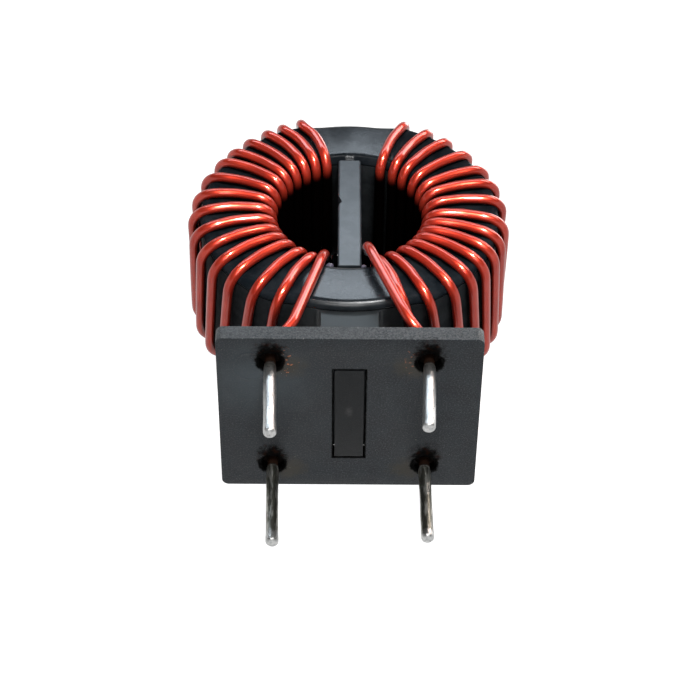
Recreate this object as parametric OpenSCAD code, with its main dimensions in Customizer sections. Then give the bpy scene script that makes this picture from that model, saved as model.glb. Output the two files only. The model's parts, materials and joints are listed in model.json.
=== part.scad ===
// Toroidal common-mode choke for upright mounting on a circuit board.
// Millimetres. The origin is the centre of the base plate's underside, which is
// the face that sits on the board. +Z points up, away from the board, the
// toroid's axis lies along Y, and the front is -Y.

/* [Base plate] */
// Width of the base plate along X
plate_w = 25.2; // [22:0.1:30]
// Depth of the base plate along Y
plate_d = 20; // [18:0.1:26]
// Thickness of the base plate
plate_t = 1.7; // [1.2:0.1:2.5]
// Radius of the plate's four upright corners
plate_corner_r = 0.7; // [0.3:0.1:1.5]
// Diameter of the four lead holes
hole_d = 2.2; // [1.8:0.1:2.6]

/* [Leads] */
// Spacing of the leads along X
lead_pitch_x = 15; // [13:0.5:17]
// Spacing of the leads along Y
lead_pitch_y = 14; // [13.5:0.5:15]
// Length of each lead below the base plate
lead_len = 9.5; // [3:0.5:12]
// Bare enamelled length between the plate's underside and the tinned end
lead_bare = 0.4; // [0.2:0.1:1]
// Thickness of the tin on the stripped wire
tin_t = 0.1; // [0.03:0.01:0.15]
// Radius of the rim at the tip of each tinned end
tin_round = 0.35; // [0.1:0.05:0.4]
// How deep the stripped wire sits in its tinned end
wire_seat = 1.2; // [0.6:0.1:1.2]

/* [Core] */
// Outside diameter of the ferrite ring
core_od = 26.6; // [24:0.1:29]
// Inside diameter of the ferrite ring
core_bore_d = 19.4; // [18:0.1:21]
// Height of the ferrite ring along the toroid's axis
core_h = 11.2; // [9:0.1:13]
// Height of the toroid's axis above the circuit board
axis_h = 22.6; // [21.5:0.1:28]

/* [Case] */
// Wall thickness of the case
case_wall = 1; // [0.8:0.1:1.4]
// Running room between the core and the case walls
core_clear = 0.2; // [0.1:0.05:0.4]
// Depth of the locating lip under the lid
lid_lip = 0.6; // [0.3:0.1:0.8]
// Width of the bevel on the lid along its seam with the cup
seam_bevel = 0.15; // [0.05:0.05:0.25]
// Radius of the case's outer edges
case_round_out = 0.8; // [0.4:0.1:1]
// Radius of the case's edges around the bore
case_round_in = 1; // [0.4:0.1:1]
// Width of the foot below the case
foot_w = 5.6; // [4.5:0.1:6.5]
// Radius of the fillets between the foot and the case
foot_fillet = 0.8; // [0.3:0.1:1.2]
// Thickness of the tab that enters the base plate's slot
tab_w = 2.8; // [2:0.1:3.6]
// Depth of the tab along Y
tab_d = 11.7; // [8:0.1:11.8]
// Gap around the tab in its slot
tab_clear = 0.15; // [0.1:0.05:0.3]

/* [Divider] */
// Thickness of the divider that parts the two windings
divider_t = 2.4; // [1.6:0.1:2.8]
// How far the divider's edges lie below the case's two faces
divider_inset = 0.3; // [0:0.1:1]
// Gap between the divider's ends and the bore
divider_clear = 0.05; // [0.02:0.01:0.15]

/* [Windings] */
// Diameter of the enamelled copper wire
wire_d = 1; // [0.8:0.05:1.05]
// Turns on each winding
turns = 15; // [8:1:15]
// Angle of the left winding's first turn, from straight down
left_first = 25.8; // [24:0.1:30]
// Angle of the left winding's last turn, from straight down
left_last = 162.5; // [150:0.1:163]
// Angle of the right winding's first turn, from straight down
right_first = 19.3; // [18:0.1:24]
// Angle of the right winding's last turn, from straight down
right_last = 156.2; // [150:0.1:160]
// How far the wire stands off the case's outer wall
wire_stand = 0.9; // [0.8:0.1:1.5]
// Bend radius of the wire at the case's outer edges, on its centre line
outer_bend = 2.3; // [2:0.1:3]
// Bend radius of the wire at the bore's edges, on its centre line
inner_bend = 1.6; // [1.6:0.1:2]
// How far a pass bows sideways between its two bends, in degrees
bow = 2; // [0:0.5:3]

/* [Hidden] */
$fn = 96;

eps = 0.01;
// How far a cutting solid reaches past what it cuts
over = 1;
cavity_clear = 0.05;
wire_slack = 0.05;
wire_r = wire_d / 2;

// The case wraps the core
case_od = core_od + 2 * (core_clear + case_wall);
case_bore_d = core_bore_d - 2 * (core_clear + case_wall);
case_h = core_h + core_clear + lid_lip + 2 * case_wall;
case_r = case_od / 2;
bore_r = case_bore_d / 2;

// The wire's centre line around the case
bore_c = bore_r - wire_r - wire_slack;
face_c = case_h / 2 + wire_r + wire_slack;
outer_c = case_r + wire_r + wire_stand;

// Centre line of a wire that runs along the divider
divider_side = divider_t / 2 + wire_r + wire_slack;

// How far from the middle each front lead leaves the bore, and how far above
// the bore's lowest wires
left_exit = divider_side + 0.8;
right_exit = divider_side;
exit_rise = 0.4 * wire_d;

// Height above the base plate at which a lead turns into its hole, and the knee
// of a front lead, inward and up from there
hole_rise = 1;
knee_in = 1.9;
knee_up = 1.6;

// How many degrees ahead of its first turn a back lead crosses the case's edge
back_early = 4;

// How far from each corner of a lead's route its curve starts
back_cuts = [1.2, 1.5];
front_cuts = [1.5, 1.5, 1.2, 1];

// Radius of a tinned end, and the lowest point of the stripped wire in it
tip_r = wire_r + tin_t;
wire_end = eps - lead_bare - wire_seat;

// How far each turn lies from its even place, in degrees, as laid by hand
left_lay = [0, 0, 1.5, 1, 0.5, 1, 2, 2.5, 3.5, 4.5, 3, 2.5, 2, 1, 0];
right_lay = [0, -0.5, 0.5, 0, -1.5, -3.5, -5, -6, -4, -3, -3.5, -2, -0.5, -1, 0];

// How much longer than lead_len each lead was cut, for its side in X and Y
lead_trim = [[0, 0.5], [-0.5, 0]];

// Segments of a bend and sides of the wire
bend_steps = 4;
wire_sides = 8;

// ---------- base plate ----------

module rounded_rectangle(width, depth, radius) {
    square([width, depth - 2 * radius], center = true);
    square([width - 2 * radius, depth], center = true);
    for (sx = [-1, 1], sy = [-1, 1])
        translate([sx * (width / 2 - radius), sy * (depth / 2 - radius)])
            circle(radius);
}

module base_plate() {
    color([0.22, 0.24, 0.25])
    difference() {
        linear_extrude(plate_t)
            rounded_rectangle(plate_w, plate_d, plate_corner_r);
        for (sx = [-1, 1], sy = [-1, 1])
            translate([sx * lead_pitch_x / 2, sy * lead_pitch_y / 2, -over])
                cylinder(h = plate_t + 2 * over, d = hole_d);
        translate([-tab_w / 2 - tab_clear, -tab_d / 2 - tab_clear, -over])
            cube([tab_w + 2 * tab_clear, tab_d + 2 * tab_clear, plate_t + 2 * over]);
    }
}

// ---------- core and case ----------

// Turns a profile of radius and height about the toroid's axis, its height
// pointing to the front
module about_axis() {
    translate([0, 0, axis_h])
        rotate([90, 0, 0])
            rotate_extrude($fn = 160)
                children();
}

module ferrite_core() {
    color([0.2, 0.19, 0.2])
    about_axis()
        translate([core_bore_d / 2, -case_h / 2 + case_wall + cavity_clear])
            square([(core_od - core_bore_d) / 2, core_h]);
}

// Ring section from the back face up to a height, its two back edges rounded
module back_section(height) {
    round_out = case_round_out;
    round_in = case_round_in;
    translate([bore_r + round_in, 0])
        square([case_r - bore_r - round_in - round_out, height]);
    translate([bore_r, round_in])
        square([round_in + eps, height - round_in]);
    translate([case_r - round_out - eps, round_out])
        square([round_out + eps, height - round_out]);
    translate([bore_r + round_in, round_in])
        circle(round_in);
    translate([case_r - round_out, round_out])
        circle(round_out);
}

// Outline of the foot across its depth, with a fillet up to the case each side.
// Foot and fillets end inside the case's wall.
module foot_outline() {
    top = axis_h - case_r + 0.8 * case_wall;
    fillet_w = 0.8 * foot_fillet;
    fillet_x = foot_w / 2 + foot_fillet;
    fillet_z = axis_h - sqrt(pow(case_r + foot_fillet, 2) - pow(fillet_x, 2));
    translate([-foot_w / 2, plate_t])
        square([foot_w, top - plate_t]);
    for (side = [0, 1])
        mirror([side, 0])
            difference() {
                translate([foot_w / 2 - eps, fillet_z])
                    square([fillet_w + eps, top - fillet_z]);
                translate([fillet_x, fillet_z])
                    circle(foot_fillet);
            }
}

module foot() {
    rotate([90, 0, 0])
        linear_extrude(case_h - 2 * case_wall, center = true)
            foot_outline();
    translate([-tab_w / 2, -tab_d / 2, 0])
        cube([tab_w, tab_d, plate_t + eps]);
}

module case_cup() {
    color([0.24, 0.26, 0.28]) {
        about_axis()
            translate([0, -case_h / 2])
                difference() {
                    back_section(case_h - case_wall);
                    translate([bore_r + case_wall, case_wall])
                        square([case_r - bore_r - 2 * case_wall, case_h]);
                }
        foot();
    }
}

module case_lid() {
    lip_in = bore_r + case_wall + cavity_clear;
    lip_out = case_r - case_wall - cavity_clear;
    color([0.3, 0.32, 0.34])
    about_axis() {
        translate([0, case_h / 2])
            mirror([0, 1])
                difference() {
                    intersection() {
                        back_section(case_h);
                        square([case_r + over, case_wall]);
                    }
                    for (edge_r = [bore_r, case_r])
                        translate([edge_r, case_wall])
                            circle(seam_bevel, $fn = 4);
                }
        translate([lip_in, case_h / 2 - case_wall - lid_lip])
            square([case_wall, lid_lip + eps]);
        translate([lip_out - case_wall, case_h / 2 - case_wall - lid_lip])
            square([case_wall, lid_lip + eps]);
    }
}

// ---------- divider ----------

module divider() {
    depth = case_h - 2 * divider_inset;
    color([0.36, 0.38, 0.41])
    intersection() {
        translate([-divider_t / 2, -depth / 2, axis_h - bore_r])
            cube([divider_t, depth, 2 * bore_r]);
        translate([0, depth / 2 + over, axis_h])
            rotate([90, 0, 0])
                cylinder(h = depth + 2 * over, r = bore_r - divider_clear);
    }
}

// ---------- windings ----------

// Point at a radius, an angle from straight down and a place along the axis
function around(radius, angle, y) =
    [radius * sin(angle), y, axis_h - radius * cos(angle)];

// Angle of a front pass; the last one after it is where the wire turns back
function turn_angle(k, first, last, lay) =
    first + (last - first) * k / (turns - 1) + (k < turns ? lay[k % len(lay)] : 0);

// Angles of the samples along a quarter bend
bend = [for (i = [0:bend_steps]) 90 * i / bend_steps];

// Radius at the middle of a pass across the front or the back
pass_r = (bore_c + inner_bend + outer_c - outer_bend) / 2;

// Bend out of the bore and pass across the front
function front_pass(angle) = concat(
    [for (b = bend)
        around(bore_c + inner_bend * (1 - cos(b)), angle, -face_c + inner_bend * (1 - sin(b)))],
    [around(pass_r, angle + bow, -face_c)]
);

// Front outer bend, run along the outer wall and back outer bend, moving on
// evenly to the next turn's angle
function outer_run(angle, next) = let (
    straight = 2 * (face_c - outer_bend),
    arc = outer_bend * PI / 2,
    slope = (next - angle) / (straight + 2 * arc)
) concat(
    [for (b = bend)
        around(outer_c - outer_bend * (1 - sin(b)), angle + slope * arc * b / 90,
            -face_c + outer_bend * (1 - cos(b)))],
    [for (b = bend)
        around(outer_c - outer_bend * (1 - cos(b)), next - slope * arc * (1 - b / 90),
            face_c - outer_bend * (1 - sin(b)))]
);

// Bend from the back into the bore
function into_bore(angle) = [
    for (b = bend)
        around(bore_c + inner_bend * (1 - sin(b)), angle, face_c - inner_bend * (1 - cos(b)))
];

function unit(v) = v / norm(v);

// A corner of a route as a curve that starts and ends a cut away from it
function corner(a, b, c, cut) = let (
    p = b + unit(a - b) * cut,
    q = b + unit(c - b) * cut
) [for (t = [0, 0.33, 0.67, 1]) (1 - t) * (1 - t) * p + 2 * t * (1 - t) * b + t * t * q];

// A route with each inner corner rounded by its own cut
function rounded_route(points, cuts) = [
    for (i = [1:len(points) - 2])
        each corner(points[i - 1], points[i], points[i + 1], cuts[i - 1])
];

// Wire from its seat in the back tinned end to the bore's edge at the first turn
function back_lead(first) = let (
    x = lead_pitch_x / 2,
    y = lead_pitch_y / 2
) concat(
    [[x, y, wire_end]],
    rounded_route([
        [x, y, wire_end], [x, y, plate_t + hole_rise],
        around(case_r + wire_r, first - back_early, face_c),
        around(bore_c + inner_bend, first, face_c)
    ], back_cuts),
    into_bore(first)
);

// Wire from the last turn down through the bore beside the divider, over the
// front and through the base plate to its seat in the front tinned end
function front_lead(last, rise, exit_x) = let (
    x = lead_pitch_x / 2,
    y = -lead_pitch_y / 2,
    front = -face_c - rise
) concat(
    rounded_route([
        around(outer_c - outer_bend, last, face_c),
        [divider_side, face_c + wire_r, axis_h + bore_c - wire_d],
        [exit_x, front, axis_h - bore_c + exit_rise],
        [x - knee_in, front, plate_t + hole_rise + knee_up],
        [x, y, plate_t + hole_rise],
        [x, y, wire_end]
    ], front_cuts),
    [[x, y, wire_end]]
);

function wire_path(first, last, lay, rise, exit_x) = let (
    a = [for (k = [0:turns]) turn_angle(k, first, last, lay)]
) concat(
    back_lead(a[0]),
    [for (k = [0:turns - 1])
        each concat(
            front_pass(a[k]),
            outer_run(a[k], a[k + 1]),
            k < turns - 1 ? [around(pass_r, a[k + 1] + bow / 2, face_c)] : [],
            k < turns - 1 ? into_bore(a[k + 1]) : []
        )],
    front_lead(a[turns], rise, exit_x)
);

// Direction of the path at each point
function directions(path) = [
    for (i = [0:len(path) - 1])
        unit(path[min(i + 1, len(path) - 1)] - path[max(i - 1, 0)])
];

// A side vector carried along the path without twist
function sides(dirs) = [
    for (i = 0, s = unit(cross(dirs[0], [0, 1, 0])); i < len(dirs);
        i = i + 1, s = i < len(dirs) ? unit(s - dirs[i] * (s * dirs[i])) : s)
        s
];

module sweep_wire(path) {
    dirs = directions(path);
    side = sides(dirs);
    count = len(path);
    n = wire_sides;
    points = [
        for (i = [0:count - 1], j = [0:n - 1])
            path[i] + wire_r * (side[i] * cos(360 * j / n)
                + cross(dirs[i], side[i]) * sin(360 * j / n))
    ];
    walls = [
        for (i = [0:count - 2], j = [0:n - 1])
            let (a = i * n + j, b = i * n + (j + 1) % n)
                each [[a, b + n, b], [a, a + n, b + n]]
    ];
    caps = [[for (j = [0:n - 1]) j], [for (j = [n - 1:-1:0]) (count - 1) * n + j]];
    polyhedron(points, concat(walls, caps));
}

module winding_left() {
    color([0.55, 0.16, 0.13])
    mirror([1, 0, 0])
        sweep_wire(wire_path(left_first, left_last, left_lay, 0, left_exit));
}

module winding_right() {
    color([0.58, 0.17, 0.14])
    sweep_wire(wire_path(right_first, right_last, right_lay, wire_d + wire_slack, right_exit));
}

// ---------- tinned ends of the leads ----------

// Half of the section of a tinned end, its rim rounded, up to a height
module tinned_section(height) {
    translate([0, tin_round])
        square([tip_r, height - tin_round]);
    square([tip_r - tin_round, height]);
    intersection() {
        translate([tip_r - tin_round, tin_round])
            circle(tin_round);
        square([tip_r, height]);
    }
}

// Tinned strand of a lead, with a seat for the end of its enamelled wire. The side
// in X and in Y is 0 or 1.
module tinned_end(side_x, side_y) {
    length = lead_len + lead_trim[side_x][side_y];
    color([0.8, 0.81, 0.82])
    translate([(side_x - 0.5) * lead_pitch_x, (side_y - 0.5) * lead_pitch_y, -length])
        difference() {
            rotate_extrude()
                tinned_section(length - lead_bare);
            translate([0, 0, length - lead_bare - wire_seat])
                cylinder(h = wire_seat + over, r = wire_r + eps);
        }
}

module tinned_end_front_left() {
    tinned_end(0, 0);
}

module tinned_end_front_right() {
    tinned_end(1, 0);
}

module tinned_end_back_left() {
    tinned_end(0, 1);
}

module tinned_end_back_right() {
    tinned_end(1, 1);
}

base_plate();
case_cup();
case_lid();
divider();
ferrite_core();
winding_left();
winding_right();
tinned_end_front_left();
tinned_end_front_right();
tinned_end_back_left();
tinned_end_back_right();
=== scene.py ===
"""Looks of an upright toroidal common-mode choke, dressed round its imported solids.

Lengths are written in millimetres and turned into metres where geometry is made. Angles
round the toroid are in degrees from straight down, and colours are linear.
"""

import json
import math

import bmesh
import bpy
from mathutils import Matrix, Vector, noise

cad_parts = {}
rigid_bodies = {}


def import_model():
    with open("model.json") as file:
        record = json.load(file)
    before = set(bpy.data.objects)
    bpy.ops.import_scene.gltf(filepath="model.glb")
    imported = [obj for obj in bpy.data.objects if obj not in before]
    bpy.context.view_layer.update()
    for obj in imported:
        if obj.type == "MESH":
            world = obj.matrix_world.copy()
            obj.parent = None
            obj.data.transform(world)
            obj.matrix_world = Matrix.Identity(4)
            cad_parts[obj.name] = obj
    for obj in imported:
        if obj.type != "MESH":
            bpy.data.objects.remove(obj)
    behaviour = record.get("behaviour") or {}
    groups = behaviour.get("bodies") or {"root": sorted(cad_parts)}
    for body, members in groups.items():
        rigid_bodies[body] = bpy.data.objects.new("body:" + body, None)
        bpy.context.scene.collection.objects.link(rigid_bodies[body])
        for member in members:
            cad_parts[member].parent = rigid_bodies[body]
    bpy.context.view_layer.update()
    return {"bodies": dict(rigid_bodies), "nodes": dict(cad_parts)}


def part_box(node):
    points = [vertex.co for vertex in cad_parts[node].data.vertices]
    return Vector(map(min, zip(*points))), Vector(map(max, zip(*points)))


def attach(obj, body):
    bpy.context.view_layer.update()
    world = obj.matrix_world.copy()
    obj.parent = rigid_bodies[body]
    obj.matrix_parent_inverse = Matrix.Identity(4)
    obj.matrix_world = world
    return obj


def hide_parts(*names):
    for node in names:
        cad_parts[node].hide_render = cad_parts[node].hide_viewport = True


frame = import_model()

MM = 0.001
BODY = next(iter(frame["bodies"]))


# ---------- sizes taken from the frame ----------

def node_box(name):
    """Lowest and highest corner of a CAD node in millimetres."""
    low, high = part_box(name)
    return low / MM, high / MM


DIVIDER_CLEAR = 0.05  # between the divider's ends and the bore

plate_high = node_box("base_plate")[1]
lid_low, lid_high = node_box("case_lid")
divider_low, divider_high = node_box("divider")

case_r = (lid_high.x - lid_low.x) / 2
axis_h = (lid_high.z + lid_low.z) / 2
case_half = -lid_low.y
plate_t = plate_high.z
divider_t = divider_high.x - divider_low.x
divider_r = (divider_high.z - divider_low.z) / 2
bore_r = divider_r + DIVIDER_CLEAR


# ---------- camera ----------

FRAME_PX = 700
SENSOR_MM = 36


def aim_camera():
    """Camera at the photograph's view: from below the board side, looking up at the front."""
    view_from_axis = math.radians(43.6)
    swing = math.radians(0.54)
    roll = math.radians(-0.03)
    focal_px = 1997
    distance = 199.5 * MM
    aim = Vector((0.09, 0, 9.04)) * MM
    ahead = Vector((
        math.sin(swing) * math.sin(view_from_axis),
        math.cos(swing) * math.sin(view_from_axis),
        math.cos(view_from_axis),
    ))
    up = Vector((0, 0, 1))
    up = (up - ahead * up.dot(ahead)).normalized()
    right = ahead.cross(up)
    side = right * math.cos(roll) + up * math.sin(roll)
    above = up * math.cos(roll) - right * math.sin(roll)
    data = bpy.data.cameras.new("camera")
    data.sensor_width = SENSOR_MM
    data.lens = focal_px / FRAME_PX * SENSOR_MM
    data.clip_start, data.clip_end = 0.01, 10
    camera = bpy.data.objects.new("camera", data)
    bpy.context.scene.collection.objects.link(camera)
    axes = Matrix((side, above, -ahead)).transposed()
    camera.matrix_world = Matrix.Translation(aim - ahead * distance) @ axes.to_4x4()
    bpy.context.scene.camera = camera


aim_camera()


# ---------- node helpers ----------

class Shading:
    """A material's node tree, built with short calls. Lengths in it are millimetres."""

    def __init__(self, name):
        self.material = bpy.data.materials.new(name)
        self.material.use_nodes = True
        self.tree = self.material.node_tree
        self.shader = self.tree.nodes["Principled BSDF"]
        place = self.add("ShaderNodeTexCoord").outputs["Object"]
        self.place = self.scaled(place, 1 / MM)
        self.x, self.y, self.z = self.split(self.place)

    def add(self, kind, **settings):
        node = self.tree.nodes.new(kind)
        for key, value in settings.items():
            setattr(node, key, value)
        return node

    def put(self, socket, value):
        if isinstance(value, bpy.types.NodeSocket):
            self.tree.links.new(value, socket)
        else:
            socket.default_value = value

    def math(self, operation, a, b=0.0):
        node = self.add("ShaderNodeMath", operation=operation)
        self.put(node.inputs[0], a)
        self.put(node.inputs[1], b)
        return node.outputs[0]

    def plus(self, a, b):
        return self.math("ADD", a, b)

    def minus(self, a, b):
        return self.math("SUBTRACT", a, b)

    def times(self, a, b):
        return self.math("MULTIPLY", a, b)

    def larger(self, a, b):
        return self.math("MAXIMUM", a, b)

    def smaller(self, a, b):
        return self.math("MINIMUM", a, b)

    def size(self, a):
        """A value without its sign."""
        return self.math("ABSOLUTE", a)

    def scaled(self, vector, scale):
        node = self.add("ShaderNodeVectorMath", operation="SCALE")
        self.put(node.inputs[0], vector)
        node.inputs["Scale"].default_value = scale
        return node.outputs["Vector"]

    def split(self, vector):
        node = self.add("ShaderNodeSeparateXYZ")
        self.put(node.inputs[0], vector)
        return node.outputs

    def join(self, x, y, z):
        node = self.add("ShaderNodeCombineXYZ")
        for socket, value in zip(node.inputs, (x, y, z)):
            self.put(socket, value)
        return node.outputs[0]

    def from_axis(self):
        """Distance from the toroid's axis."""
        node = self.add("ShaderNodeVectorMath", operation="LENGTH")
        self.put(node.inputs[0], self.join(self.x, 0.0, self.minus(self.z, axis_h)))
        return node.outputs["Value"]

    def near(self, x, y, width, depth):
        """Distance from a place in X and Y, as a share of a width and a depth. Each of x and y
        is a value and the place that it is counted from."""
        dx = self.math("DIVIDE", self.minus(*x), width)
        dy = self.math("DIVIDE", self.minus(*y), depth)
        return self.math("SQRT", self.plus(self.times(dx, dx), self.times(dy, dy)))

    def noise(self, size, detail=2.0, rough=0.5, place=None):
        """Noise from 0 to 1 whose features are about a size across."""
        node = self.add("ShaderNodeTexNoise")
        self.put(node.inputs["Vector"], place or self.place)
        node.inputs["Scale"].default_value = 1 / size
        node.inputs["Detail"].default_value = detail
        node.inputs["Roughness"].default_value = rough
        return node.outputs["Fac"]

    def step(self, value, start, end, low=0.0, high=1.0):
        """Smooth step that goes from low at start to high at end."""
        node = self.add("ShaderNodeMapRange", interpolation_type="SMOOTHSTEP")
        for key, v in zip(("Value", "From Min", "From Max", "To Min", "To Max"),
                          (value, start, end, low, high)):
            self.put(node.inputs[key], v)
        return node.outputs["Result"]

    def mix(self, factor, a, b):
        node = self.add("ShaderNodeMix", data_type="RGBA")
        self.put(node.inputs[0], factor)
        self.put(node.inputs[6], (*a, 1) if isinstance(a, tuple) else a)
        self.put(node.inputs[7], (*b, 1) if isinstance(b, tuple) else b)
        return node.outputs[2]

    def bump(self, height, depth):
        """Bump of a depth in millimetres for a height from 0 to 1."""
        node = self.add("ShaderNodeBump")
        self.put(node.inputs["Height"], height)
        node.inputs["Distance"].default_value = depth * MM
        node.inputs["Strength"].default_value = 1
        return node.outputs["Normal"]

    def open_share(self, reach):
        """Share of the sky that a point sees within a reach, for shade painted into hollows and
        beside the object.
        """
        node = self.add("ShaderNodeAmbientOcclusion", samples=12)
        node.inputs["Distance"].default_value = reach * MM
        return node.outputs["AO"]

    def hollow(self, reach, shut, clear):
        """Open share as a step from 0 to 1, and 1 on the back, which stands near the wall. Colours
        use it to paint shade into hollows.
        """
        share = self.step(self.open_share(reach), shut, clear)
        return self.larger(share, self.step(self.y, case_half - 2.5, case_half))

    def set(self, **values):
        """Values for the shader's own sockets, named with _ for each space."""
        for key, value in values.items():
            self.put(self.shader.inputs[key.replace("_", " ")], value)


# ---------- materials ----------

LEAD_X = 7.5  # half the spacing of the leads
LEAD_Y = 7.0
SLOT_X = 1.5  # from the middle of the slot for the foot's tab to the middle of its gap
SLOT_Y = 5.95
BLACK = (0.002, 0.002, 0.002)


def worn_edges(s, colour):
    """Pale wear along the base plate's edges and corners."""
    to_side = s.minus(plate_high.x, s.size(s.x))
    to_front = s.minus(plate_high.y, s.size(s.y))
    to_face = s.smaller(s.z, s.minus(plate_t, s.z))
    long_edge = s.smaller(s.larger(to_front, to_face), s.larger(to_side, to_face))
    upright = s.times(s.plus(to_side, to_front), 0.11)
    patches = s.step(s.noise(0.33, 3, 0.7), 0.60, 0.75, 0, 0.7)
    wear = s.times(s.step(s.smaller(long_edge, upright), 0.20, 0.04), patches)
    return s.mix(wear, colour, (0.30, 0.31, 0.29))


def copper_specks(s, out_x, out_y, under):
    """Copper dust that the stripped wires left, most of it inwards of the front left hole."""
    scatter = s.step(s.near((out_x, -1.5), (out_y, 0.0), 1.3, 2.3), 1.1, 0.4, 0, 0.12)
    copper = s.step(s.plus(s.noise(0.36, 3, 0.5), scatter), 0.70, 0.76)
    copper = s.times(s.times(copper, under), s.step(scatter, 0.0, 0.02))
    return s.times(s.times(copper, s.step(s.y, 1, 0)), s.step(s.x, -1, 1, 1, 0.4))


def lead_hole_dirt(s, colour):
    """Haze, specks, a pale smear and soot round the lead holes, on the underside. Returns the
    colour and the share of soot."""
    # places counted from the nearest lead hole, inwards along X and to the front along Y
    out_x = s.minus(s.size(s.x), LEAD_X)
    out_y = s.minus(s.y, s.times(s.math("SIGN", s.y), LEAD_Y))
    ragged = s.times(s.minus(s.noise(0.7, 4, 0.7), 0.5), 1.3)
    under = s.step(s.z, 0.4, 0.2)
    haze = s.plus(s.near((out_x, -1.6), (out_y, 0.6), 2.6, 2.0), ragged)
    haze = s.times(s.step(haze, 1.0, 0.2, 0, 0.8), under)
    colour = s.mix(haze, colour, (0.030, 0.026, 0.018))
    colour = s.mix(copper_specks(s, out_x, out_y, under), colour, (0.40, 0.13, 0.05))
    dust = s.step(s.noise(0.13, 1, 0.3), 0.80, 0.84)
    colour = s.mix(s.times(dust, under), colour, (0.30, 0.29, 0.27))
    smear = s.plus(s.near((out_x, -0.25), (out_y, -1.75), 0.45, 0.30), ragged)
    smear = s.times(s.step(smear, 1.0, 0.3), s.step(s.y, -6, -7))
    colour = s.mix(s.times(smear, under), colour, (0.22, 0.20, 0.18))
    soot = s.plus(s.near((out_x, 0.0), (out_y, -0.9), 1.7, 2.1), ragged)
    soot = s.times(s.step(soot, 1.15, 0.45), under)
    rust = s.step(s.noise(0.5), 0.5, 0.65)
    colour = s.mix(soot, colour, s.mix(rust, (0.003, 0.003, 0.003), (0.020, 0.006, 0.003)))
    hole = s.plus(s.near((out_x, 0.0), (out_y, 0.0), 1.0, 1.0), s.times(ragged, 0.5))
    hole = s.step(hole, 1.6, 1.3)
    return s.mix(hole, colour, BLACK), s.larger(soot, hole)


def slot_grime(s):
    """Share of grime along the slot that holds the foot's tab."""
    gap = s.size(s.larger(s.minus(s.size(s.x), SLOT_X), s.minus(s.size(s.y), SLOT_Y)))
    return s.step(s.plus(gap, s.times(s.noise(0.5, 3), 0.16)), 0.36, 0.16)


def ejector_mark(s):
    """Height of the faint ring that an ejector pin left."""
    ring = s.size(s.minus(s.near((s.x, -9.35), (s.y, -6.4), 1.7, 1.7), 1))
    return s.step(ring, 0.14, 0.0, 0, 1.8)


def plate_plastic():
    """Dark moulded plastic of the base plate: grainy sides, pale worn edges, soot and
    copper specks round the lead holes."""
    s = Shading("base_plastic")
    cloud = s.noise(3.0, 3)
    grain = s.noise(0.16, 3, 0.7)
    fine = s.noise(0.05, 2, 0.6)
    colour = s.mix(s.step(cloud, 0.3, 0.7), (0.003, 0.005, 0.008), (0.008, 0.012, 0.016))
    # painted sheen: a broad, lighter, bluish patch towards the front left of the underside
    pale = s.step(s.plus(s.near((s.x, -9.0), (s.y, -4.5), 7.0, 6.0), cloud), 1.6, 0.5)
    colour = s.mix(pale, colour, (0.036, 0.047, 0.055))
    colour = s.mix(s.step(grain, 0.46, 0.78), colour, (0.050, 0.055, 0.059))
    # the sides are coarser than the flat faces; their pale crumbs are grain, made light enough
    #     to paint in the sheen that the front side catches
    normal = s.split(s.add("ShaderNodeNewGeometry").outputs["Normal"])
    side = s.step(s.size(normal[2]), 0.5, 0.2)
    crumb_and_sheen = s.times(side, s.step(grain, 0.28, 0.78))
    colour = worn_edges(s, s.mix(crumb_and_sheen, colour, (0.069, 0.076, 0.079)))
    colour, soot = lead_hole_dirt(s, colour)
    grime = slot_grime(s)
    coarse = s.times(grain, s.plus(s.times(side, 3), 1))
    height = s.plus(coarse, s.plus(s.times(fine, 0.5), ejector_mark(s)))
    rough = s.plus(s.times(cloud, 0.12), 0.42)
    # soot and grime have no sheen, which a black metal gives
    dull = s.times(s.larger(soot, grime), 0.95)
    s.set(Base_Color=s.mix(grime, colour, BLACK), Roughness=s.larger(rough, dull), Metallic=dull,
          Specular_IOR_Level=0.35, Normal=s.bump(height, 0.02))
    return s.material


FOOT_TOP = 8.2  # where the foot meets the ring


def tab_face(s, colour, grain):
    """The foot's tab in the base plate's slot: darker, with a small gate mark."""
    tab = s.step(s.z, 0.6, 0.3)
    mottle = s.mix(s.step(grain, 0.5, 0.75), (0.008, 0.009, 0.010), (0.018, 0.019, 0.021))
    colour = s.mix(tab, colour, mottle)
    gate = s.plus(s.near((s.x, 0.0), (s.y, -0.4), 0.6, 1.1), s.noise(0.3))
    return s.mix(s.times(tab, s.step(gate, 1.4, 0.4)), colour, (0.036, 0.036, 0.037))


def upper_bore_rim(s, out):
    """Share of the bore's upper rim, apart from its middle."""
    rim = s.times(s.step(out, bore_r + 0.6, bore_r + 0.38), s.step(s.size(s.x), 0.3, 0.55))
    rim = s.times(rim, s.step(out, bore_r - 0.04, bore_r))
    return s.times(rim, s.step(s.z, axis_h, axis_h + 4, 0, 0.9))


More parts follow.
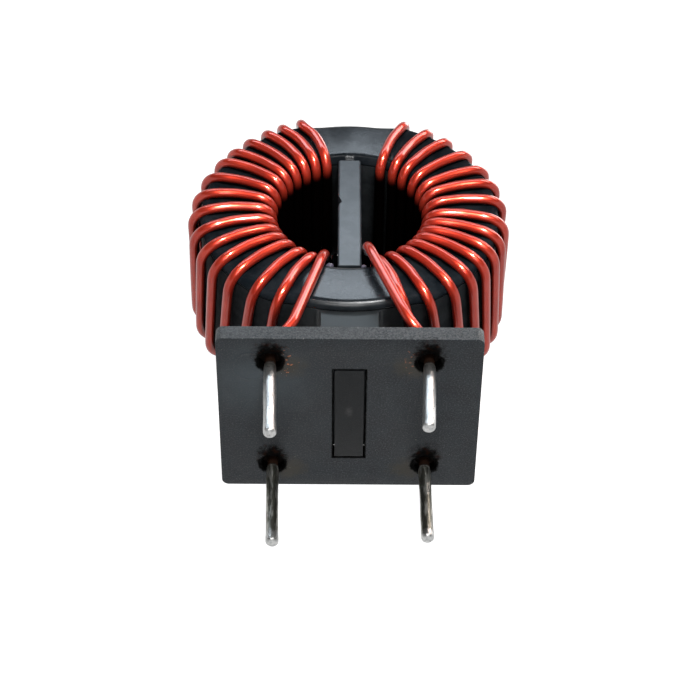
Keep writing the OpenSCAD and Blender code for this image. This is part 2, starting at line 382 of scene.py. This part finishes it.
def case_plastic(name, dark, pale, rough, grain_depth, shiny_half=100.0, fade=0.7, reach=4,
                 upper_shine_and_shade=1.0, edge_shine=1.0, edge_blur=0.0):
    """Dark moulded plastic of the case, with a faint mottle. Shade is painted into its colour:
    black in hollows, and darker high on the ring where upper_shine_and_shade is below 1; the foot's
    sheen is painted in as a lighter colour. It shines up to shiny_half from the middle, fades
    to dull between the wires, and is dull inside the bore. upper_shine_and_shade weakens the shine
    high on the ring and darkens its colour there, edge_shine weakens or strengthens the shine along
    its outer edge, and edge_blur roughens that edge. reach is how far a hollow may be from
    what shades it."""
    s = Shading(name)
    cloud = s.noise(1.6, 4, 0.6)
    grain = s.noise(0.14, 3, 0.6)
    colour = s.mix(s.step(cloud, 0.35, 0.65), dark, pale)
    # painted shade: the colour goes to black in hollows
    colour = s.mix(s.hollow(reach, 0.05, 0.4), BLACK, colour)
    # the foot is a lighter colour with less shine: its sheen painted into the colour
    foot = s.step(s.z, FOOT_TOP, FOOT_TOP - 0.8)
    colour = tab_face(s, s.mix(foot, colour, (0.034, 0.041, 0.044)), grain)
    shine = s.times(s.step(s.size(s.x), shiny_half + fade, shiny_half), 0.38)
    shine = s.minus(shine, s.times(foot, 0.2))
    out = s.from_axis()
    bore = s.times(s.step(out, bore_r + 0.5, bore_r),
                   s.step(s.size(s.y), case_half - 0.6, case_half - 2.5))
    shine = s.times(shine, s.minus(1, bore))
    rim = upper_bore_rim(s, out)
    shine = s.times(shine, s.minus(1, rim))
    rough = s.step(rim, 0, 0.9, rough, 0.7)
    edge = s.step(out, case_r - 0.45, case_r - 0.35)
    shine = s.times(shine, s.step(edge, 0, 1, 1, edge_shine))
    rough = s.plus(rough, s.step(edge, 0, 1, 0, edge_blur))
    # painted shade: high on the ring the colour is darkened towards black, and the shine weakened
    upper = s.step(s.z, axis_h - 6, axis_h + 10, 1, upper_shine_and_shade)
    shine = s.times(shine, upper)
    s.set(Base_Color=s.mix(upper, (0.002, 0.002, 0.003), colour),
          Specular_IOR_Level=s.plus(shine, 0.01),
          Roughness=s.plus(s.times(cloud, 0.04), rough),
          Normal=s.bump(s.plus(grain, s.times(cloud, 2)), grain_depth))
    return s.material


def glue():
    """Clear hardened glue."""
    s = Shading("glue")
    s.set(Base_Color=s.mix(s.noise(0.2), (0.10, 0.09, 0.13), (0.16, 0.15, 0.20)), Roughness=0.25,
          Coat_Weight=0.3, Coat_Roughness=0.05)
    return s.material


def burnt_flux():
    """Black burnt flux in the lead holes."""
    s = Shading("burnt_flux")
    s.set(Base_Color=s.mix(s.noise(0.4, 3), (0.001, 0.001, 0.001), (0.010, 0.005, 0.003)),
          Roughness=0.95, Specular_IOR_Level=0.1)
    return s.material


def ferrite():
    """Sintered grey-black core."""
    s = Shading("ferrite")
    grain = s.noise(0.2, 3)
    s.set(Base_Color=s.mix(grain, (0.02, 0.02, 0.022), (0.05, 0.05, 0.052)),
          Roughness=0.6, Normal=s.bump(grain, 0.02))
    return s.material


def enamel():
    """Red-brown enamel over bright copper, under a clear coat, charred where the leads were
    stripped. Shade is painted into it: near black and without shine in the bore, darker in
    hollows."""
    s = Shading("wire_enamel")
    drift = s.noise(4.0, 2)
    spot = s.noise(0.5, 3, 0.6)
    colour = s.mix(s.step(drift, 0.3, 0.7), (0.34, 0.026, 0.014), (0.44, 0.038, 0.020))
    colour = s.mix(s.step(spot, 0.62, 0.78, 0, 0.35), colour, (0.18, 0.016, 0.010))
    # painted shade: the colour goes near black in the bore and in hollows, and the bore loses its
    # shine
    inside = s.times(s.step(s.from_axis(), bore_r + 0.6, bore_r - 0.3),
                     s.step(s.size(s.y), case_half + 0.2, case_half - 1.9))
    lit = s.times(s.hollow(9, 0.14, 0.58), s.minus(1, inside))
    colour = s.mix(lit, (0.001, 0.0005, 0.0005), colour)
    char = s.step(s.plus(s.z, s.noise(0.6)), 4.4, 3.4)
    shine = s.minus(1, s.larger(inside, char))
    s.set(Base_Color=s.mix(char, colour, (0.012, 0.006, 0.004)),
          Metallic=s.times(shine, 0.48), Specular_IOR_Level=0.0,
          Roughness=s.minus(0.9, s.times(shine, 0.56)),
          Coat_Weight=s.times(shine, 0.7), Coat_Roughness=0.11, Coat_IOR=1.5,
          Normal=s.bump(s.noise(0.9, 2), 0.006))
    return s.material


def tin():
    """Dipped tin, bright and slightly uneven. On the back leads it is darker, which is painted
    shade, and streaked; it is black at its seat above, where the wire goes in."""
    s = Shading("tin")
    streak = s.noise(0.35, 3, 0.6, s.join(s.x, s.y, s.times(s.z, 0.18)))
    spot = s.noise(0.22, 3, 0.6)
    dull = s.step(s.plus(s.z, s.noise(0.5)), -1.6, 0.6)
    colour = s.mix(s.step(streak, 0.35, 0.7), (0.57, 0.57, 0.56), (0.39, 0.40, 0.40))
    colour = s.mix(s.step(spot, 0.60, 0.70), colour, (0.20, 0.19, 0.18))
    colour = s.mix(dull, colour, (0.12, 0.10, 0.08))
    # painted shade: the back leads, but for their tips, get a darker, streaked colour
    back = s.times(s.step(s.y, 2, 4), s.step(s.plus(s.z, s.noise(0.6)), -8.6, -8.0))
    streaked = s.mix(s.step(streak, 0.45, 0.62), (0.13, 0.13, 0.11), (0.42, 0.42, 0.39))
    colour = s.mix(back, colour, streaked)
    seat = s.step(s.z, TIN_FULL, TIN_FULL + 0.25)
    s.set(Base_Color=s.mix(seat, colour, (0.006, 0.004, 0.003)),
          Metallic=s.step(seat, 0, 1, 0.94, 0.2), Specular_IOR_Level=0.2,
          Roughness=s.plus(s.times(streak, 0.20), s.step(seat, 0, 1, 0.24, 0.7)),
          Normal=s.bump(s.noise(0.28, 4, 0.7), 0.045))
    return s.material


def dress(piece, material):
    """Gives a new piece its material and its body."""
    piece.data.materials.clear()
    piece.data.materials.append(material)
    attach(piece, BODY)
    return piece


# ---------- mesh helpers ----------

def add_mesh(name, points, faces):
    """A smooth-shaded mesh object from points in millimetres."""
    mesh = bpy.data.meshes.new(name)
    mesh.from_pydata([Vector(p) * MM for p in points], [], faces)
    mesh.shade_smooth()
    piece = bpy.data.objects.new(name, mesh)
    bpy.context.scene.collection.objects.link(piece)
    return piece


def rings_to_faces(rings, sides):
    """Quads between closed rings of points, with a cap at each end."""
    faces = []
    for i in range(rings - 1):
        for j in range(sides):
            k = (j + 1) % sides
            faces.append((i * sides + j, i * sides + k, (i + 1) * sides + k, (i + 1) * sides + j))
    faces.append(tuple(reversed(range(sides))))
    faces.append(tuple(range((rings - 1) * sides, rings * sides)))
    return faces


# The case's outer wall lies farther out under the windings, between two angles, and eases
# into that over a third one. WALL_DEPTH is how far in from the wall it is counted as such.
WALL_SWELL = 0.78
SWELL_FROM, SWELL_TO, SWELL_EASE = 18, 170, 16
WALL_DEPTH = 0.9

SHARP_ANGLE = math.radians(28)
SMOOTH_ANGLE = math.radians(35)
FLAT_ANGLE = math.radians(0.3)


def wall_swell(point):
    """How far a point of the case is pushed out, so that no light shows under the windings."""
    x, z = point.x / MM, point.z / MM - axis_h
    angle = math.degrees(math.atan2(abs(x), -z))
    share = min(1.0, (angle - SWELL_FROM) / SWELL_EASE, (SWELL_TO - angle) / SWELL_EASE)
    share = max(0.0, share)
    share = share * share * (3 - 2 * share)
    return WALL_SWELL * share if math.hypot(x, z) > case_r - WALL_DEPTH else 0.0


def softened(node, name, width, segments=3, swell=False):
    """A copy of a CAD node's mesh with its sharp edges rounded by a small width, and with
    the case's wall pushed out if it swells."""
    mesh = frame["nodes"][node].data.copy()
    mesh.name = name
    work = bmesh.new()
    work.from_mesh(mesh)
    bmesh.ops.remove_doubles(work, verts=work.verts, dist=0.0005 * MM)
    if swell:
        for v in work.verts:
            out = Vector((v.co.x, 0, v.co.z - axis_h * MM)).normalized()
            v.co += out * wall_swell(v.co) * MM
    bmesh.ops.dissolve_limit(work, angle_limit=FLAT_ANGLE, verts=work.verts, edges=work.edges)
    sharp = [e for e in work.edges if len(e.link_faces) == 2 and e.calc_face_angle(0) > SHARP_ANGLE]
    bmesh.ops.bevel(work, geom=sharp, offset=width * MM, segments=segments, profile=0.5,
                    affect="EDGES", clamp_overlap=True)
    bmesh.ops.triangulate(work, faces=[f for f in work.faces if len(f.verts) > 4])
    work.to_mesh(mesh)
    work.free()
    mesh.shade_smooth()
    mesh.set_sharp_from_angle(angle=SMOOTH_ANGLE)
    piece = bpy.data.objects.new(name, mesh)
    bpy.context.scene.collection.objects.link(piece)
    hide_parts(node)
    return piece


# ---------- windings ----------

WIRE_D = 1.04
WIRE_R = WIRE_D / 2
SLACK = 0.05
STAND = 0.9
OUTER_BEND = 2.3
INNER_BEND = 1.6
BOW = 2.3
TURNS = 15
WIRE_SIDES = 20
STEP = 0.32
BEND_STEPS = 8
CORNER_STEPS = 8
PASS_STEPS = 10
EASE_PASSES = 14
ROUTE_PASSES = 2

bore_c = bore_r - WIRE_R - SLACK
face_c = case_half + WIRE_R + SLACK
outer_c = case_r + WIRE_R + STAND
divider_side = divider_t / 2 + WIRE_R + SLACK

# the leads' routes: where the wires end inside the tin, how high above the base plate they
# bend, how far before its first turn a back lead reaches the ring, the front lead's knee and
# its rise at the bore, and the cuts that round the corners of both routes
WIRE_END = -1.0
HOLE_RISE = 1.0
BACK_EARLY = 4
KNEE_IN, KNEE_UP = 1.9, 1.6
EXIT_RISE = 0.4 * WIRE_D
BACK_CUTS = [1.2, 1.5]
FRONT_CUTS = [1.5, 1.5, 1.2, 1]

# each lead's length below the plate and how far its tip leans, for its side in X and Y
LEAD_LENGTH = {(-1, -1): 9.5, (1, -1): 9.0, (-1, 1): 10.0, (1, 1): 9.5}
LEAD_LEAN = {(-1, -1): (0.22, 0.0), (1, -1): (-0.3, -0.3), (-1, 1): (0.2, 0.5), (1, 1): (0.1, 0.4)}

# For each turn as the photograph shows it: lay, how far it lies ahead of its even place, and
# slant, how far its front pass drifts, both in degrees; swell, how far it stands out further.
WINDINGS = {
    "left": dict(
        side=-1, first=25.8, last=162.5, rise=0.0, exit_x=divider_side + 0.8,
        lay=[0, 0, 1.5, 1, 0.5, 1, 2, 2.5, 3.5, 4.5, 3, 2.5, 2, 1, 0],
        slant=[0, 0, 0, 0, 0, 0, 0, 0, 0, 0, -0.8, -1.5, -1.8, -3.4, -4],
        swell=[0, 0, 0.1, 0.2, 0.25, 0.25, 0.2, 0.15, 0.1, 0, -0.1, -0.2, -0.3, -0.3, -0.3]),
    "right": dict(
        side=1, first=19.3, last=156.2, rise=WIRE_D + SLACK, exit_x=divider_side,
        lay=[0, -0.5, 0.5, 0, -1.5, -3.5, -5, -6, -4, -3, -3.5, -2, -0.5, -1, 0],
        slant=[0] * 15,
        swell=[0, 0, 0, 0, 0, 0.05, 0, 0, -0.1, -0.1, -0.2, -0.3, -0.35, -0.35, -0.35]),
}


def around(radius, angle, y):
    """Point at a radius, an angle in degrees from straight down and a place along the axis."""
    a = math.radians(angle)
    return Vector((radius * math.sin(a), y, axis_h - radius * math.cos(a)))


def quarter():
    """Angles of the samples along a quarter bend, in radians."""
    return [math.pi / 2 * i / BEND_STEPS for i in range(BEND_STEPS + 1)]


def front_pass(angle, slant, swell):
    """Bend out of the bore and pass across the front, bowed and slanted sideways. Points of a
    turn are a radius, an angle and a place along the axis."""
    points = [(bore_c + INNER_BEND * (1 - math.cos(b)), angle,
               -face_c + INNER_BEND * (1 - math.sin(b))) for b in quarter()]
    inner, outer = bore_c + INNER_BEND, outer_c + swell - outer_bend(swell)
    for i in range(1, PASS_STEPS):
        t = i / PASS_STEPS
        drift = slant * t + BOW * math.sin(math.pi * t)
        points.append((inner + (outer - inner) * t, angle + drift, -face_c))
    return points


def outer_bend(swell):
    """A turn that swells out bends wider, and one that lies close bends tighter."""
    return OUTER_BEND + swell * (1 if swell > 0 else 2)


def outer_run(angle, following, swell):
    """Front outer bend, run along the outer wall and back outer bend, moving on evenly."""
    bend, radius = outer_bend(swell), outer_c + swell
    arc = bend * math.pi / 2
    slope = (following - angle) / (2 * (face_c - bend) + 2 * arc)
    points = [(radius - bend * (1 - math.sin(b)), angle + slope * bend * b,
               -face_c + bend * (1 - math.cos(b))) for b in quarter()]
    points += [(radius - bend * (1 - math.cos(b)), following - slope * (arc - bend * b),
                face_c - bend * (1 - math.sin(b))) for b in quarter()]
    return points


def back_pass(angle, swell):
    """Pass across the back and bend into the bore."""
    inner, outer = bore_c + INNER_BEND, outer_c + swell - outer_bend(swell)
    points = []
    for i in range(1, PASS_STEPS):
        t = i / PASS_STEPS
        drift = BOW / 2 * math.sin(math.pi * t)
        points.append((outer + (inner - outer) * t, angle + drift, face_c))
    return points + into_bore(angle)


def into_bore(angle):
    """Bend from the back into the bore."""
    return [(bore_c + INNER_BEND * (1 - math.sin(b)), angle,
             face_c - INNER_BEND * (1 - math.cos(b))) for b in quarter()]


def eased_turns(turns, step, passes):
    """Turns at even steps, their angles eased so that the wire drifts sideways smoothly."""
    fine = [turns[0]]
    for a, b in zip(turns, turns[1:]):
        count = max(1, round((around(*b) - around(*a)).length / step))
        fine += [tuple(u + (v - u) * i / count for u, v in zip(a, b)) for i in range(1, count + 1)]
    angles = smoothed([angle for _, angle, _ in fine], passes)
    return [around(radius, angle, y) for (radius, _, y), angle in zip(fine, angles)]


def rounded_route(points, cuts):
    """A route whose inner corners are rounded, each by its own cut."""
    route = []
    for before, corner, after, cut in zip(points, points[1:], points[2:], cuts):
        start = corner + (before - corner).normalized() * cut
        end = corner + (after - corner).normalized() * cut
        for i in range(CORNER_STEPS + 1):
            t = i / CORNER_STEPS
            route.append((1 - t) ** 2 * start + 2 * t * (1 - t) * corner + t * t * end)
    return route


def lean(point, side_x, side_y):
    """A point of a lead below the plate, moved as the lead leans."""
    depth = max(0.0, -point.z) / LEAD_LENGTH[side_x, side_y]
    dx, dy = LEAD_LEAN[side_x, side_y]
    return point + Vector((dx, dy, 0)) * depth ** 1.3


def winding_path(side, first, last, rise, exit_x, lay, slant, swell):
    """Centre line of a winding, from its back lead's end to its front lead's end."""
    angles = [first + (last - first) * k / (TURNS - 1) + (lay[k] if k < TURNS else 0)
              for k in range(TURNS + 1)]
    back_end, front_end = Vector((LEAD_X, LEAD_Y, WIRE_END)), Vector((LEAD_X, -LEAD_Y, WIRE_END))
    path = [back_end] + rounded_route([
        back_end,
        Vector((LEAD_X, LEAD_Y, plate_t + HOLE_RISE)),
        around(case_r + WIRE_R, first - BACK_EARLY, face_c),
        around(bore_c + INNER_BEND, first, face_c),
    ], BACK_CUTS)
    turns = into_bore(first)
    for k in range(TURNS):
        turns += front_pass(angles[k], slant[k], swell[k])
        turns += outer_run(angles[k] + slant[k], angles[k + 1], swell[k])
        if k < TURNS - 1:
            turns += back_pass(angles[k + 1], swell[k])
    path += eased_turns(turns, STEP, EASE_PASSES)
    front = -face_c - rise
    path += rounded_route([
        around(outer_c + swell[-1] - outer_bend(swell[-1]), angles[TURNS], face_c),
        Vector((divider_side, face_c + WIRE_R, axis_h + bore_c - WIRE_D)),
        Vector((exit_x, front, axis_h - bore_c + EXIT_RISE)),
        Vector((LEAD_X - KNEE_IN, front, plate_t + HOLE_RISE + KNEE_UP)),
        Vector((LEAD_X, -LEAD_Y, plate_t + HOLE_RISE)),
        front_end,
    ], FRONT_CUTS) + [front_end]
    path = [Vector((side * p.x, p.y, p.z)) for p in path]
    return [lean(p, side, 1 if p.y > 0 else -1) if p.z < 0 else p for p in path]


def resample(path, step):
    """Points at even steps along a path."""
    points, left = [path[0]], step
    for a, b in zip(path, path[1:]):
        length = (b - a).length
        while length >= left > 0 and length > 1e-9:
            a = a + (b - a) * (left / length)
            points.append(a)
            length -= left
            left = step
        left -= length
    return points + [path[-1]]


def smoothed(values, passes):
    """Points or numbers in a row, each drawn towards its two neighbours, but for both ends."""
    for _ in range(passes):
        inner = [(a + 2 * b + c) / 4 for a, b, c in zip(values, values[1:], values[2:])]
        values = [values[0]] + inner + [values[-1]]
    return values


def sweep(name, path, radius, sides):
    """A round tube along a path, its section carried along without twist."""
    points = []
    across = None
    for i, here in enumerate(path):
        ahead = (path[min(i + 1, len(path) - 1)] - path[max(i - 1, 0)]).normalized()
        across = ahead.orthogonal() if across is None else across
        across = (across - ahead * across.dot(ahead)).normalized()
        other = ahead.cross(across)
        for j in range(sides):
            a = 2 * math.pi * j / sides
            points.append(here + radius * (across * math.cos(a) + other * math.sin(a)))
    return add_mesh(name, points, rings_to_faces(len(path), sides))


def winding(name, material):
    """One winding, a single wire with both its leads."""
    path = smoothed(resample(winding_path(**WINDINGS[name]), STEP), ROUTE_PASSES)
    piece = sweep(f"enamelled_wire_{name}", path, WIRE_R, WIRE_SIDES)
    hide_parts(f"winding_{name}")
    return dress(piece, material)


# ---------- tinned ends ----------

TIN_R = 0.6
TIN_ROUND = 0.3
TIN_TOP = -0.40
TIN_FULL = -0.75
TIN_SIDES = 40
TIN_ROWS = 70


def tin_profile(length):
    """Radius and height of each ring of a tinned end, from its seat down to its tip."""
    profile = [(WIRE_R + 0.01, TIN_TOP), (WIRE_R + 0.04, TIN_TOP - 0.08), (TIN_R - 0.03, TIN_FULL)]
    straight = length - TIN_ROUND + TIN_FULL
    profile += [(TIN_R, TIN_FULL - straight * (i + 1) / TIN_ROWS) for i in range(TIN_ROWS)]
    profile += [(TIN_R - TIN_ROUND * (1 - math.cos(a)), -length + TIN_ROUND * (1 - math.sin(a)))
                for a in quarter()[1:]]
    return profile + [(TIN_R * share, -length) for share in (0.35, 0.2, 0.05)]


def tin_bulge(seed, out, z, length):
    """How far the coat stands out: slow waves, fine ripples and a drop above the tip."""
    wave = noise.noise(seed + out * 0.9 + Vector((0, 0, z * 0.35)))
    ripple = noise.noise(seed + out * 2.2 + Vector((0, 0, z * 1.6)))
    drop = math.exp(-((z + length - 0.6) / 0.55) ** 2)
    return 0.030 * wave + 0.014 * ripple + 0.02 * drop


def tinned_end(side_x, side_y, name, material):
    """An uneven coat of tin that swells out of the wire and ends in a blunt, rounded tip."""
    length = LEAD_LENGTH[side_x, side_y]
    seed = Vector((side_x * 11, side_y * 7, 0))
    profile = tin_profile(length)
    points = []
    for radius, z in profile:
        share = radius / TIN_R
        if z > WIRE_END:
            share = min(1.0, max(0.0, (radius - WIRE_R) / 0.06))
        for j in range(TIN_SIDES):
            a = 2 * math.pi * j / TIN_SIDES
            out = Vector((math.cos(a), math.sin(a), 0))
            bulge = tin_bulge(seed, out, z, length) * share
            here = out * (radius + bulge) + Vector((side_x * LEAD_X, side_y * LEAD_Y, z))
            points.append(lean(here, side_x, side_y))
    piece = add_mesh(f"dipped_{name}", points, rings_to_faces(len(profile), TIN_SIDES))
    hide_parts(name)
    return dress(piece, material)


# ---------- divider ----------

def rounded_oblong(half_x, half_y, edge, steps=5):
    """Corners of an oblong with rounded edges, counted anticlockwise."""
    outline = []
    for sx, sy, start in ((1, 1, 0), (-1, 1, 90), (-1, -1, 180), (1, -1, 270)):
        for i in range(steps + 1):
            a = math.radians(start + 90 * i / steps)
            outline.append((sx * (half_x - edge) + edge * math.cos(a),
                            sy * (half_y - edge) + edge * math.sin(a)))
    return outline


def divider(material):
    """The bore's divider with soft edges and a small nick in its front left edge."""
    nick_z = axis_h + 1.6
    nick_up, nick_down = 1.2, 0.6
    nick_depth, nick_reach = 0.42, 0.8
    half_x, half_y = divider_t / 2, -divider_low.y
    outline = rounded_oblong(half_x, half_y, edge=0.22)
    rows = 120
    points = []
    for i in range(rows + 1):
        z = divider_low.z + (divider_high.z - divider_low.z) * i / rows
        above = z - nick_z
        share = max(0.0, 1 - (above / nick_up if above > 0 else -above / nick_down))
        limit = -half_x + nick_depth * share
        for x, y in outline:
            if y < -half_y + nick_reach and x < limit:
                x = limit
            # the two ends follow the bore
            top = math.sqrt(divider_r ** 2 - x * x)
            points.append((x, y, axis_h + (z - axis_h) * top / divider_r))
    piece = add_mesh("divider_strip", points, rings_to_faces(rows + 1, len(outline)))
    piece.data.shade_flat()
    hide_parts("divider")
    return dress(piece, material)


# ---------- glue, flux and a plug of painted shade ---

def lump(name, place, size, material):
    """A small uneven, squashed ball: a lump of set glue or flux, or the dark plug of painted shade.
    """
    work = bmesh.new()
    bmesh.ops.create_icosphere(work, subdivisions=4, radius=1)
    for v in work.verts:
        uneven = 1 + 0.18 * noise.noise(v.co * 1.3 + Vector(place))
        v.co = (Vector(place) + Vector(a * b for a, b in zip(v.co, size)) * uneven) * MM
    mesh = bpy.data.meshes.new(name)
    work.to_mesh(mesh)
    work.free()
    mesh.shade_smooth()
    piece = bpy.data.objects.new(name, mesh)
    bpy.context.scene.collection.objects.link(piece)
    return dress(piece, material)


# ---------- build ----------

# the words for each lead's side in X and in Y
CORNERS = {(-1, -1): ("left", "front"), (1, -1): ("right", "front"),
           (-1, 1): ("left", "back"), (1, 1): ("right", "back")}

plate_material = plate_plastic()
cup_material = case_plastic(
    "case_plastic", dark=(0.014, 0.016, 0.018), pale=(0.022, 0.025, 0.027),
    rough=0.38, grain_depth=0.010, shiny_half=5.2)
lid_material = case_plastic(
    "lid_plastic", dark=(0.007, 0.010, 0.013), pale=(0.016, 0.020, 0.024),
    rough=0.20, grain_depth=0.012, shiny_half=4.0,
    upper_shine_and_shade=0.7, edge_shine=1.8, edge_blur=0.1)
divider_material = case_plastic(
    "divider_plastic", dark=(0.036, 0.045, 0.053), pale=(0.052, 0.062, 0.071),
    rough=0.28, grain_depth=0.006, shiny_half=0.95, fade=0.2, upper_shine_and_shade=0.65, reach=0.8)
enamel_material = enamel()
tin_material = tin()

dress(softened("base_plate", "moulded_base", width=0.09), plate_material)
dress(softened("case_cup", "moulded_cup", width=0.09, swell=True), cup_material)
dress(softened("case_lid", "moulded_lid", width=0.36, segments=1, swell=True),
      lid_material)
divider(divider_material)

glue_material = glue()
bore_floor = axis_h - bore_r
lump("glue_left", (-1.98, -6.5, bore_floor + 0.22), (0.38, 0.35, 0.25), glue_material)
lump("glue_right", (1.40, -6.45, bore_floor + 0.12), (0.28, 0.30, 0.20), glue_material)
# a dark lump of the lid's plastic that closes the gap beside the divider, halfway up: painted
# # shade where light would show through the bore
lump("shade_plug", (-1.45, 5.0, 28.3), (0.36, 0.5, 1.1), lid_material)
flux_material = burnt_flux()
for (side_x, side_y), (side, end) in CORNERS.items():
    place = (side_x * LEAD_X, side_y * LEAD_Y, 1.15)
    lump(f"flux_{side}_{end}", place, (1.16, 1.16, 0.42), flux_material)

for winding_side in WINDINGS:
    winding(winding_side, enamel_material)
for (side_x, side_y), (side, end) in CORNERS.items():
    tinned_end(side_x, side_y, f"tinned_end_{end}_{side}", tin_material)
core = frame["nodes"]["ferrite_core"]
core.data.materials.clear()
core.data.materials.append(ferrite())


# ---------- floor, world and lights ----------

def floor_material(glow):
    """Pale surface that only the camera sees, and only from its front; every other ray passes
    to the white world. Its glow makes it as white as the world without more light. Beside the
    object its glow and colour are weaker: a painted contact shadow."""
    s = Shading("pale_floor")
    # painted contact shadow: less glow and a darker colour where little sky is open
    share = s.step(s.open_share(9), 0.0, 0.4, 0.75, 1)
    s.set(Base_Color=s.mix(share, (0, 0, 0), (0.3, 0.3, 0.3)), Roughness=0.8,
          Specular_IOR_Level=0.0, Emission_Color=(1, 1, 1, 1),
          Emission_Strength=s.times(share, glow))
    clear = s.add("ShaderNodeBsdfTransparent")
    seen = s.times(s.add("ShaderNodeLightPath").outputs["Is Camera Ray"],
                  s.minus(1, s.add("ShaderNodeNewGeometry").outputs["Backfacing"]))
    mixer = s.add("ShaderNodeMixShader")
    s.put(mixer.inputs[0], seen)
    s.put(mixer.inputs[1], clear.outputs[0])
    s.put(mixer.inputs[2], s.shader.outputs[0])
    s.put(s.tree.nodes["Material Output"].inputs["Surface"], mixer.outputs[0])
    return s.material


def make_floor():
    """A floor under the leads, and a wall that the back of the part leans against."""
    size = 2500
    level, back = -max(LEAD_LENGTH.values()), plate_high.y + 0.05
    square = [(-size, -size), (size, -size), (size, size), (-size, size)]
    material = floor_material(glow=0.98)
    for name, corners in {
        "floor": [(x, y, level) for x, y in square],
        "wall": [(x, back, z) for x, z in square],
    }.items():
        surface = add_mesh(name, corners, [(0, 1, 2, 3)])
        surface.data.materials.append(material)


def make_world(ambient):
    """White to the camera and to reflections, a plain soft level for everything else."""
    world = bpy.data.worlds.new("studio")
    world.use_nodes = True
    tree = world.node_tree
    path = tree.nodes.new("ShaderNodeLightPath")
    seen = path.outputs["Is Camera Ray"]
    for ray in ("Is Glossy Ray", "Is Transmission Ray"):
        most = tree.nodes.new("ShaderNodeMath")
        most.operation = "MAXIMUM"
        tree.links.new(seen, most.inputs[0])
        tree.links.new(path.outputs[ray], most.inputs[1])
        seen = most.outputs[0]
    level = tree.nodes.new("ShaderNodeMapRange")
    level.inputs["To Min"].default_value = ambient
    level.inputs["To Max"].default_value = 1
    tree.links.new(seen, level.inputs["Value"])
    background = tree.nodes["Background"]
    background.inputs["Color"].default_value = (1, 1, 1, 1)
    tree.links.new(level.outputs[0], background.inputs["Strength"])
    bpy.context.scene.world = world


def soft_light(name, direction, distance, width, radiance, shape="SQUARE"):
    """A white area light that faces the toroid. radiance is its brightness as seen in a mirror."""
    middle = Vector((0, 0, 15))
    place = middle + Vector(direction).normalized() * distance
    data = bpy.data.lights.new(name, "AREA")
    data.shape = shape
    data.size = width * MM
    area = (width * MM) ** 2 * (math.pi / 4 if shape == "DISK" else 1)
    data.energy = radiance * area * math.pi
    light = bpy.data.objects.new(name, data)
    bpy.context.scene.collection.objects.link(light)
    facing = (place - middle).to_track_quat("Z", "Y").to_matrix()
    light.matrix_world = Matrix.Translation(place * MM) @ facing.to_4x4()


def glow_material(name, colour, level):
    """A plain glow, black otherwise."""
    s = Shading(name)
    s.set(Base_Color=(0, 0, 0, 1), Roughness=1.0, Specular_IOR_Level=0.0,
          Emission_Color=(*colour, 1), Emission_Strength=level)
    return s


def card(name, y, left, right, low, high, material):
    """An upright card that only reflections see."""
    corners = [(right, y, low), (left, y, low), (left, y, high), (right, y, high)]
    piece = add_mesh(name, corners, [(0, 1, 2, 3)])
    piece.data.materials.append(material)
    piece.visible_camera = False
    piece.visible_diffuse = False
    piece.visible_transmission = False
    piece.visible_shadow = False
    return piece


def dark_room(distance, size, level):
    """The dim side of the room behind the lights."""
    dim = glow_material("dark_room", (1, 0.97, 0.94), level)
    card("dark_room", -distance, -size, size, -size, size, dim.material)


def window(distance, left, right, low, high, level, colour, top_share):
    """A tall window with a soft sill, whose upper part may be dimmer."""
    sill = 20
    dim_from, dim_to = 252, 298
    s = glow_material("window", colour, level)
    share = s.times(s.step(s.z, low, low + sill), s.step(s.z, dim_from, dim_to, 1, top_share))
    s.set(Emission_Strength=s.times(share, level))
    card("window", -distance, left, right, low, high, s.material)


def glint(centre, radius, level, receivers):
    """The lamp's bare bulb, which only the varnish of the wires mirrors."""
    bulb = card("glint", centre.y, centre.x - radius, centre.x + radius,
                centre.z - radius, centre.z + radius,
                glow_material("glint", (1, 0.97, 0.92), level).material)
    varnished = bpy.data.collections.new("varnished")
    for name in receivers:
        varnished.objects.link(bpy.data.objects[name])
    bulb.light_linking.receiver_collection = varnished


KEY_DIRECTION = Vector((0.12, -0.95, -0.27))
BULB_DISTANCE = 250

make_floor()
make_world(ambient=0.35)
dark_room(distance=400, size=1500, level=0.03)
window(distance=215, left=-230, right=110, low=175, high=420,
       level=9.6, colour=(0.80, 0.90, 1.0), top_share=0.12)
window(distance=215, left=115, right=380, low=130, high=280,
       level=15, colour=(1.0, 0.86, 0.80), top_share=1.0)
soft_light("key", KEY_DIRECTION, distance=260, width=50, radiance=80, shape="DISK")
glint(KEY_DIRECTION * BULB_DISTANCE, radius=10, level=4200,
      receivers=[f"enamelled_wire_{side}" for side in WINDINGS])
soft_light("sky", (0.5, 0.1, 0.86), distance=320, width=160, radiance=5)
soft_light("low_window", (0, -0.64, -0.77), distance=320, width=120, radiance=6)

bpy.context.scene.view_settings.view_transform = "Standard"
